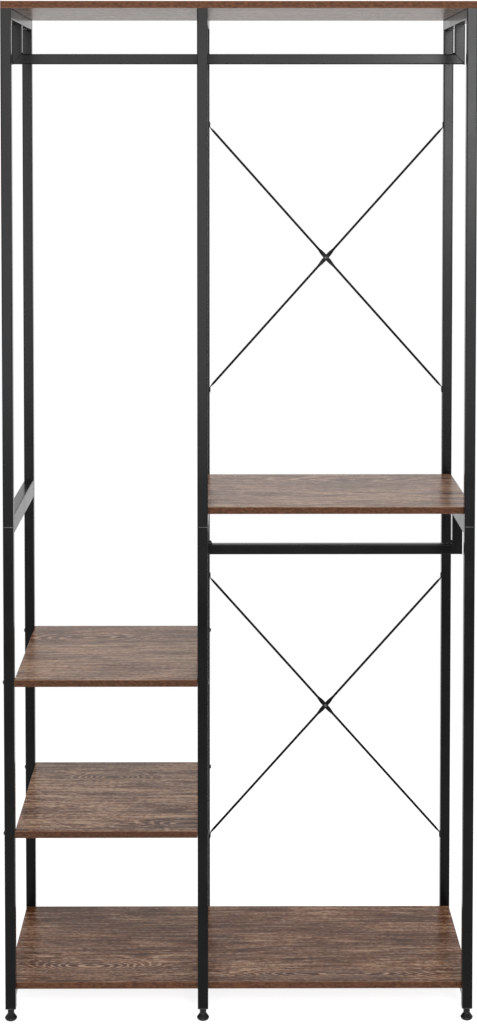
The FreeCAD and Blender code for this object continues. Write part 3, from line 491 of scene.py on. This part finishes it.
class Field:
    """A number at every point of a surface, held by a node's output socket."""

    def __init__(self, socket):
        self.socket, self.tree = socket, socket.id_data

    def work(self, operation, *others):
        """A Math node on this field and others, in order."""
        node = self.tree.nodes.new("ShaderNodeMath")
        node.operation = operation
        for place, value in enumerate((self, *others)):
            connect(value, node.inputs[place])
        return Field(node.outputs[0])

    def __add__(self, other):
        return self.work("ADD", other)

    def __sub__(self, other):
        return self.work("SUBTRACT", other)

    def __mul__(self, other):
        return self.work("MULTIPLY", other)

    def __truediv__(self, other):
        return self.work("DIVIDE", other)

    def between(self, low, high):
        """0 below low, 1 above high and a smooth step between."""
        node = self.tree.nodes.new("ShaderNodeMapRange")
        node.interpolation_type = "SMOOTHSTEP"
        connect(self, node.inputs["Value"])
        node.inputs["From Min"].default_value, node.inputs["From Max"].default_value = low, high
        return Field(node.outputs["Result"])

    def ramp(self, *stops):
        """A colour read from stops of (place, colour)."""
        node = self.tree.nodes.new("ShaderNodeValToRGB")
        elements = node.color_ramp.elements
        while len(elements) < len(stops):
            elements.new(0.5)
        for element, (place, colour) in zip(elements, stops):
            element.position, element.color = place, (*colour, 1)
        connect(self, node.inputs["Fac"])
        return Field(node.outputs["Color"])


# %% Read the place, the way a surface faces, and noise
def split(tree, output):
    """Three fields: the parts of a Texture Coordinate output."""
    node = tree.nodes.new("ShaderNodeSeparateXYZ")
    tree.links.new(tree.nodes.new("ShaderNodeTexCoord").outputs[output], node.inputs[0])
    return [Field(part) for part in node.outputs]


def noise(tree, parts, stretch, detail=2.0, rough=0.5, swirl=0.0):
    """Soft noise with so many ups and downs in a metre along each of the three parts."""
    joined = tree.nodes.new("ShaderNodeCombineXYZ")
    for part, times, socket in zip(parts, stretch, joined.inputs):
        connect(part * times, socket)
    node = tree.nodes.new("ShaderNodeTexNoise")
    tree.links.new(joined.outputs[0], node.inputs["Vector"])
    node.inputs["Scale"].default_value, node.inputs["Detail"].default_value = 1.0, detail
    node.inputs["Roughness"].default_value, node.inputs["Distortion"].default_value = rough, swirl
    return Field(node.outputs[0])


def tint(factor, first, second):
    """A colour part of the way, by a factor, from the first to the second."""
    node = factor.tree.nodes.new("ShaderNodeMix")
    node.data_type = "RGBA"
    connect(factor, node.inputs[0])
    connect(first, node.inputs[6])
    connect(second, node.inputs[7])
    return Field(node.outputs[2])


def corner_of(tree):
    """0 on flat faces that look along an axis, rising on the rounded edges between them."""
    x, y, z = (part.work("ABSOLUTE") for part in split(tree, "Normal"))
    return x.work("MAXIMUM", y).work("MAXIMUM", z) * -1.0 + 1.0


# %% Start a finish, and complete it
def new_finish(name, ior, metallic=0.0):
    """A material with one Principled shader: its node tree and the shader."""
    material = bpy.data.materials.new(name)
    material.use_nodes = True
    shader = material.node_tree.nodes["Principled BSDF"]
    shader.inputs["IOR"].default_value, shader.inputs["Metallic"].default_value = ior, metallic
    return material, material.node_tree, shader


def finish_with(shader, colour, roughness, height, depth):
    """Joins colour, roughness and a bump of that height field, depth metres deep, to the shader."""
    connect(colour, shader.inputs["Base Color"])
    connect(roughness, shader.inputs["Roughness"])
    bump = height.tree.nodes.new("ShaderNodeBump")
    bump.inputs["Distance"].default_value = depth
    connect(height, bump.inputs["Height"])
    height.tree.links.new(bump.outputs[0], shader.inputs["Normal"])


# %% [markdown]
# ## Brown boards
# The boards are chipboard under a printed, half-gloss wood film. The print shows planks joined along their length,
# each with growth lines that open into long ovals, dark pores, pale streaks and dark saw smudges. The cut edges carry
# a darker, mottled band: partly a printed edge band, partly painted shade, as upright faces take less light than the
# tops. The film is rubbed pale along the arrises. A photograph of wood would be the quick way, but it repeats. Growth
# lines are the contour lines of a smooth field: a slope across the plank, bent by stretched noise, with a hump
# wherever an oval should open. A sine of that field draws the lines.

# %% Colours of the wood
COOL_STOPS = [(0.10, (0.046, 0.010, 0.001)), (0.32, (0.098, 0.031, 0.008)), (0.52, (0.149, 0.075, 0.042)),
              (0.72, (0.222, 0.139, 0.099)), (0.92, (0.354, 0.244, 0.188))]
WARM_STOPS = [(0.10, (0.060, 0.013, 0.002)), (0.32, (0.127, 0.038, 0.009)), (0.52, (0.198, 0.087, 0.038)),
              (0.72, (0.302, 0.163, 0.093)), (0.92, (0.484, 0.304, 0.193))]
EDGE_BAND_AND_SHADE_STOPS = [(0.30, (0.041, 0.017, 0.010)), (0.50, (0.080, 0.035, 0.020)), (0.72, (0.154, 0.066, 0.035))]
WOOD_PORE, WOOD_WORN = (0.022, 0.011, 0.007, 1), (0.380, 0.240, 0.150, 1)
WOOD_IOR, WOOD_BUMP = 1.2, 0.05 * MM
LINES_PER_METRE, LINES_BENT, LINES_RAGGED = 60.0, 11.0, 1.2
TONE_MEAN, TONE_MIDDLE = 1.84, 0.5
SEAM_FADE = (0.488, 0.497)


# %% Growth lines that open into ovals
def growth_lines(tree, x, y, parts, bend, ovals):
    """Lines from 0 to 1, and how near an oval is. Each oval is (x, y, half length, half width, lines).

    The lines are a sine of a slope across the plank, bent by noise, plus a hump of exp(-r^2) at each oval.
    """
    growth, knots = y * LINES_PER_METRE + bend * LINES_BENT, 0.0
    for oval_x, oval_y, long, wide, count in ovals:
        far = ((x - oval_x) / long).work("POWER", 2.0) + ((y - oval_y) / wide).work("POWER", 2.0)
        hump = (far * -1.0).work("EXPONENT")
        growth, knots = growth + hump * count, hump + knots
    ragged = noise(tree, parts, (34.0, 170.0, 170.0), detail=4.0, rough=0.65)
    return ((growth + ragged * LINES_RAGGED) * (2 * math.pi)).work("SINE").between(0.1, 1.0), knots


# %% Cut edges and rubbed arrises
def with_edges(tree, colour, edge):
    """The colour on level faces, a mottled band on upright ones, and worn film on the rounding between them.

    The band is darker partly as a printed edge band and partly as painted shade on the upright faces.
    """
    parts = split(tree, "Object")
    # Upright faces take a darker mottled band: partly a printed edge band, partly painted shade.
    upright = split(tree, "Normal")[2].work("ABSOLUTE").between(0.3, 0.8) * -1.0 + 1.0
    mottle = noise(tree, parts, (130.0, 130.0, 300.0), detail=4.0, rough=0.7)
    # The edge value lightens the band as painted light: bounce light on the bottom board, a reflection on the top
    # board.
    colour = tint(upright, colour, (mottle + edge).ramp(*EDGE_BAND_AND_SHADE_STOPS))
    rubbed = (corner_of(tree) * 4.0) * noise(tree, parts, (60.0, 60.0, 60.0), detail=3.0).between(0.3, 0.6)
    return tint(rubbed.work("MINIMUM", 0.6), colour, WOOD_WORN)


# %% Wood film on a board
def wood_film(name, plank, seam, seed, lightness, contrast, edge, ovals):
    """Printed wood whose planks are so wide, with a seam at a given Y.

    The colour is a ramp of tone. Tone is a weighted sum of noises stretched along the grain, less the smudges, plus
    the growth lines. Contrast spreads it about its mean and lightness moves it, partly as the board's own tone and
    partly as painted light and shade, darkest on the bottom board. Edge lightens the cut edges as painted light, and
    the seed moves all the noises of the grain, as does each plank's own luck.
    """
    material, tree, shader = new_finish(name, WOOD_IOR)
    x, y, z = split(tree, "Object")
    across = (y - seam) / plank
    row = across.work("FLOOR")
    chance = tree.nodes.new("ShaderNodeTexWhiteNoise")
    chance.noise_dimensions = "1D"
    connect(row + seed, chance.inputs["W"])
    luck = Field(chance.outputs["Value"])
    parts = (x + luck * 7.0 + seed, y + luck * 3.0, z)

    bend = noise(tree, parts, (1.7, 8.0, 8.0), detail=1.5)
    lines, knots = growth_lines(tree, x, y, parts, bend, ovals)
    zone = noise(tree, parts, (6.0, 21.0, 21.0), detail=2.5, rough=0.55).between(0.40, 0.60)
    streak = noise(tree, (parts[0], parts[1] + bend * 0.03, parts[2]), (6.0, 150.0, 150.0), detail=5.0, rough=0.72)
    fleck = noise(tree, parts, (110.0, 170.0, 170.0), detail=3.0, rough=0.7)
    fibre = noise(tree, parts, (30.0, 900.0, 900.0), detail=2.0, rough=0.6)
    pores = noise(tree, parts, (60.0, 1500.0, 1500.0), detail=1.0).between(0.60, 0.70)
    smudge = noise(tree, parts, (11.0, 46.0, 46.0), detail=4.0, rough=0.65).between(0.54, 0.68)
    blush = noise(tree, parts, (34.0, 90.0, 90.0), detail=2.0).between(0.42, 0.58)

    tone = zone * 0.16 + streak * 1.6 + fleck * 1.3 + fibre * 0.5 + luck * 0.12 - smudge * 0.30
    tone = tone + lines * (knots * 0.80 + 0.16) - knots * 0.37 - TONE_MEAN
    # Each board's lightness is partly its own tone and partly painted light and shade.
    tone = tone * contrast + (lightness + TONE_MIDDLE)
    colour = tint(zone * 0.5 + blush * 0.5, tone.ramp(*COOL_STOPS), tone.ramp(*WARM_STOPS))
    join = (across - row - 0.5).work("ABSOLUTE").between(*SEAM_FADE)
    colour = tint(join * 0.35, colour, WOOD_PORE)
    colour = tint(pores * 0.55, colour, WOOD_PORE)

    roughness = streak * 0.16 + pores * 0.2 + 0.2
    relief = streak * 0.5 + fibre * 0.35 - pores * 0.6
    finish_with(shader, with_edges(tree, colour, edge), roughness, relief, WOOD_BUMP)
    return material


# %% A print for each board
# Lightness is partly each board's tone, partly painted shade, with the bottom board darkest. Edge is painted light on
# the cut edges, most on the bottom board (bounce light) and the top board (a reflection of a lamp).
board_woods = {
    "top_board": wood_film(
        "brown_film_top_board", plank=0.120, seam=0.015, seed=3.0, lightness=0.0, contrast=1.0, edge=0.07,
        ovals=[(-0.21, -0.05, 0.20, 0.05, 7.0)]),
    "bottom_board": wood_film(
        "brown_film_bottom_board", plank=0.120, seam=-0.023, seed=11.0, lightness=-0.045, contrast=1.2, edge=0.09,
        ovals=[(-0.275, -0.114, 0.110, 0.034, 9.0), (0.230, -0.147, 0.120, 0.022, 7.0),
               (0.090, -0.150, 0.100, 0.020, 5.0)]),
    "right_shelf": wood_film(
        "brown_film_right_shelf", plank=0.118, seam=-0.054, seed=23.0, lightness=0.065, contrast=1.1, edge=0.03,
        ovals=[(0.22, 0.10, 0.15, 0.04, 5.0)]),
    "upper_left_shelf": wood_film(
        "brown_film_upper_left_shelf", plank=0.129, seam=-0.062, seed=37.0, lightness=0.065, contrast=1.0, edge=0.01,
        ovals=[(-0.3, 0.1, 0.12, 0.03, 5.0)]),
    "lower_left_shelf": wood_film(
        "brown_film_lower_left_shelf", plank=0.110, seam=0.010, seed=53.0, lightness=0.07, contrast=1.45, edge=0.0,
        ovals=[(-0.245, 0.106, 0.060, 0.025, 7.0), (-0.090, -0.160, 0.080, 0.020, 5.0)]),
}
print("wood prints:", ", ".join(board_woods))

# %% [markdown]
# ## Black metal and plastic
# The tubes are powder coated: a dry paint baked to a satin skin with a fine orange-peel surface, thinner on the edges.
# The edges are painted paler, partly for the thinner coat and partly as a painted highlight.
# The screws are blackened steel and the feet glossy moulded plastic. One flat black would look like a hole in the
# picture, so each finish has its own grain, its own gloss and its own wear.

# %% Depths of the bumps
PEEL_DEEP, SCRATCH_DEEP, MOULD_DEEP = 0.008 * MM, 0.03 * MM, 0.01 * MM


# %% Satin powder coat
def powder_coat(name, ior, dark, pale, roughness, edges=True):
    """Black paint between two greys, with orange peel about a millimetre across and smoother, paler edges.

    The paler edges are partly a thinner coat and partly a painted highlight. The roughness is a mean, about which
    the clouds and the peel move it. The next two finishes do the same.
    """
    material, tree, shader = new_finish(name, ior)
    parts = split(tree, "Object")
    cloud = noise(tree, parts, (14.0, 14.0, 14.0), detail=4.0, rough=0.6)
    peel = noise(tree, parts, (850.0, 850.0, 850.0), detail=1.5)
    speck = noise(tree, parts, (2600.0, 2600.0, 2600.0), detail=1.0).between(0.55, 0.75)
    colour = tint(cloud.between(0.3, 0.7), (*dark, 1), (*pale, 1))
    colour = tint(speck * 0.25, colour, (*(4 * shade for shade in pale), 1))
    gloss = cloud * 0.14 + peel * 0.08 + (roughness - 0.11)
    # Paler, smoother edges: partly a thinner coat, partly a painted highlight along the edges.
    if edges:
        thin_coat_and_highlight = (corner_of(tree) * 5.0).work("MINIMUM", 1.0) * cloud.between(0.35, 0.65)
        colour = tint(thin_coat_and_highlight * 0.5, colour, (*(5 * shade for shade in pale), 1))
        gloss = gloss - thin_coat_and_highlight * 0.06
    finish_with(shader, colour, gloss, peel + cloud * 0.4, PEEL_DEEP)
    return material


COAT_DARK, COAT_PALE = (0.0016, 0.0016, 0.0017), (0.0029, 0.0029, 0.0030)
# The seam rims' pale grey is a painted highlight for the bright line where the post tubes meet.
SEAM_HIGHLIGHT_DARK, SEAM_HIGHLIGHT_PALE = (0.004, 0.004, 0.004), (0.060, 0.060, 0.061)
frame_coat = powder_coat("satin_black_frame", 1.20, COAT_DARK, COAT_PALE, roughness=0.22)
rail_coat = powder_coat("satin_black_rail", 1.20, COAT_DARK, COAT_PALE, roughness=0.22)
wire_coat = powder_coat("satin_black_wire", 1.14, COAT_DARK, COAT_PALE, roughness=0.32, edges=False)
seam_highlight_coat = powder_coat("seam_highlight_metal", 1.3, SEAM_HIGHLIGHT_DARK, SEAM_HIGHLIGHT_PALE, roughness=0.28, edges=False)
seam_rims.data.materials.append(seam_highlight_coat)


# %% Blackened screws, plated steel and moulded plastic
def worn_steel(name, ior, metallic, dark, pale, roughness, scratch):
    """Metal between two greys, with fine scratches that show in its colour, gloss and bump."""
    material, tree, shader = new_finish(name, ior, metallic)
    parts = split(tree, "Object")
    cloud = noise(tree, parts, (160.0, 160.0, 160.0), detail=4.0, rough=0.65)
    marks = noise(tree, parts, scratch, detail=2.0, swirl=0.4)
    colour = tint(cloud.between(0.35, 0.7), (*dark, 1), (*pale, 1))
    colour = tint(marks.between(0.62, 0.74) * 0.5, colour, (*(min(1, 2.2 * shade) for shade in pale), 1))
    gloss = cloud * 0.16 + marks * 0.1 + (roughness - 0.13)
    finish_with(shader, colour, gloss, marks + cloud * 0.5, SCRATCH_DEEP)
    return material


def moulded_plastic(name, ior, dark, pale, roughness, grain):
    """Black plastic between two greys, with a fine mould grain and flow marks."""
    material, tree, shader = new_finish(name, ior)
    parts = split(tree, "Object")
    flow = noise(tree, parts, (70.0, 70.0, 160.0), detail=3.0, swirl=0.6)
    skin_grain = noise(tree, parts, (grain, grain, grain), detail=1.5)
    colour = tint(flow.between(0.3, 0.7), (*dark, 1), (*pale, 1))
    gloss = flow * 0.12 + skin_grain * 0.06 + (roughness - 0.09)
    finish_with(shader, colour, gloss, skin_grain + flow, MOULD_DEEP)
    return material


black_steel = worn_steel("blackened_screw_steel", ior=1.5, metallic=0.8, dark=(0.048, 0.048, 0.049),
                         pale=(0.090, 0.090, 0.092), roughness=0.28, scratch=(900.0, 900.0, 900.0))
plated_steel = worn_steel("plated_stud_steel", ior=1.5, metallic=1.0, dark=(0.36, 0.36, 0.35),
                          pale=(0.52, 0.52, 0.50), roughness=0.32, scratch=(300.0, 300.0, 2500.0))
bare_steel = worn_steel("oiled_sleeve_steel", ior=1.5, metallic=0.9, dark=(0.16, 0.16, 0.16),
                        pale=(0.26, 0.26, 0.255), roughness=0.4, scratch=(900.0, 900.0, 60.0))
foot_plastic = moulded_plastic("glossy_foot_plastic", ior=1.3, dark=(0.0018, 0.0018, 0.0019),
                               pale=(0.0034, 0.0034, 0.0035), roughness=0.06, grain=1500.0)
plug_plastic = moulded_plastic("dull_plug_plastic", ior=1.45, dark=(0.0060, 0.0060, 0.0061),
                               pale=(0.0110, 0.0110, 0.0112), roughness=0.42, grain=2200.0)

# %% Give every node and piece its finish
slot_finishes = {
    "frame_metal": frame_coat, "rail_metal": rail_coat, "brace_metal": wire_coat, "black_screws": black_steel,
    "stud_steel": plated_steel, "sleeve_steel": bare_steel, "plug_plastic": plug_plastic, "foot_plastic": foot_plastic,
    **{f"{board}_wood": film for board, film in board_woods.items()},
}
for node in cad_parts.values():
    for place in node.material_slots:
        place.material = slot_finishes[place.material.name]
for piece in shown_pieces():
    if not piece.material_slots:
        piece.data.materials.append(slot_finishes[piece["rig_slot"]])

# %% [markdown]
# ## Floor and studio
# The photograph has a white room round the rack. A big pale disc is the floor. Seen by the camera or in a reflection
# it is lifted to white, and it passes into plain white further out, but near the rack it still takes a soft shadow.
# The world does the same: white to the eye and in reflections, weaker as a light.

# %% Pale floor
FLOOR_REACH, FLOOR_DROP, FLOOR_ROWS, FLOOR_COLUMNS = 14, 0.3 * MM, 24, 96
floor_radius = FLOOR_REACH * np.linspace(0, 1, FLOOR_ROWS)[1:, None]**2
floor_turn = np.linspace(0, 2 * math.pi, FLOOR_COLUMNS, endpoint=False)
floor_points = np.stack([floor_radius * np.cos(floor_turn), floor_radius * np.sin(floor_turn),
                         0 * floor_radius * floor_turn - FLOOR_DROP], axis=-1).reshape(-1, 3)
ring = np.arange(len(floor_points)).reshape(-1, FLOOR_COLUMNS)
beside = np.roll(ring, -1, axis=1)
floor_quads = np.stack([ring[:-1], ring[1:], beside[1:], beside[:-1]], axis=-1).reshape(-1, 4)
floor_mesh = bpy.data.meshes.new("studio_floor")
floor_mesh.from_pydata(floor_points.tolist(), [], floor_quads.tolist() + [ring[0].tolist()])
floor = bpy.data.objects.new("studio_floor", floor_mesh)
bpy.context.scene.collection.objects.link(floor)


# %% White to the eye and in reflections
def seen(tree):
    """1 for rays that the camera, a reflection or glass sends, 0 for rays that only gather light."""
    ray = tree.nodes.new("ShaderNodeLightPath")
    camera_ray, *others = (Field(ray.outputs[f"Is {kind} Ray"]) for kind in ("Camera", "Glossy", "Transmission"))
    return camera_ray.work("MAXIMUM", others[0]).work("MAXIMUM", others[1])


def either(tree, factor, first, second):
    """A Mix Shader of two shader outputs."""
    node = tree.nodes.new("ShaderNodeMixShader")
    connect(factor, node.inputs[0])
    tree.links.new(first, node.inputs[1])
    tree.links.new(second, node.inputs[2])
    return node.outputs[0]


# The floor passes into plain white between these two squares of the distance from the middle.
FLOOR_FADE = (0.8, 5.0)
FLOOR_PAINT, FLOOR_LIFT = 0.40, 0.83
paint = bpy.data.materials.new("pale_floor_paint")
paint.use_nodes = True
tree = paint.node_tree
tree.nodes.clear()
matt, lift, white, both = (tree.nodes.new(f"ShaderNode{kind}") for kind in
                           ("BsdfDiffuse", "Emission", "Emission", "AddShader"))
matt.inputs["Color"].default_value = (FLOOR_PAINT, FLOOR_PAINT, FLOOR_PAINT, 1)
lift.inputs["Strength"].default_value = FLOOR_LIFT
tree.links.new(matt.outputs[0], both.inputs[0])
tree.links.new(lift.outputs[0], both.inputs[1])
floor_x, floor_y, _ = split(tree, "Object")
far = (floor_x.work("POWER", 2.0) + floor_y.work("POWER", 2.0)).between(*FLOOR_FADE)
shown = either(tree, far, both.outputs[0], white.outputs[0])
output = tree.nodes.new("ShaderNodeOutputMaterial")
tree.links.new(either(tree, seen(tree), matt.outputs[0], shown), output.inputs["Surface"])
floor.data.materials.append(paint)

# %% World
AMBIENT = 0.45
world = bpy.data.worlds.new("white_studio")
world.use_nodes = True
bpy.context.scene.world = world
tree = world.node_tree
tree.nodes.clear()
gathered, looked_at = tree.nodes.new("ShaderNodeBackground"), tree.nodes.new("ShaderNodeBackground")
gathered.inputs["Color"].default_value = looked_at.inputs["Color"].default_value = (1, 1, 1, 1)
gathered.inputs["Strength"].default_value = AMBIENT
output = tree.nodes.new("ShaderNodeOutputWorld")
tree.links.new(either(tree, seen(tree), gathered.outputs[0], looked_at.outputs[0]), output.inputs["Surface"])
print(f"world: {AMBIENT} as a light, white to the eye")

# %% [markdown]
# ## Lamps
# The tubes are brightest near the top and almost black lower down, so two soft panels stand behind the camera, where
# the upper part of each tube mirrors them: a large one for all, and a small strong one for the right post. Seen from
# the back, the boards would mirror them as a white glare, so light linking makes these two panels pass the boards by.
# A third panel, high in front, lights the boards and makes no highlight.

# %% Boards that the mirrored panels pass by
passed_by = bpy.data.collections.new("boards_passed_by")
for board in board_woods:
    passed_by.objects.link(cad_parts[board])
for member in passed_by.collection_objects:
    member.light_linking.link_state = "EXCLUDE"


# %% Soft panels
def soft_panel(name, place, aim, width, height, brightness, mirrored=True):
    """A rectangular lamp of that brightness, turned to a point. Power is brightness times area times pi.

    A mirrored lamp makes highlights and passes the boards by. Any other lights matt colour and makes no highlight.
    """
    lamp = bpy.data.lights.new(name, "AREA")
    lamp.shape, lamp.size, lamp.size_y = "RECTANGLE", width, height
    lamp.energy = brightness * width * height * math.pi
    panel = bpy.data.objects.new(name, lamp)
    panel.location = place
    panel.rotation_euler = (Vector(aim) - Vector(place)).to_track_quat("-Z", "Y").to_euler()
    panel.visible_camera, panel.visible_glossy = False, mirrored
    bpy.context.scene.collection.objects.link(panel)
    if mirrored:
        panel.light_linking.receiver_collection = passed_by
    print(f"{name}: {lamp.energy:.0f} W")


soft_panel("front_panel", (-0.3, -4.6, 1.8), aim=(-0.3, 0, 1.8), width=2.8, height=2.8, brightness=5.7)
soft_panel("right_panel", (1.15, -4.55, 2.12), aim=(1.15, 0, 2.12), width=0.8, height=1.66, brightness=19.0)
soft_panel("high_panel", (0, -3.6, 3.0), aim=(0, 0, 0.6), width=2.6, height=1.6, brightness=12.0, mirrored=False)
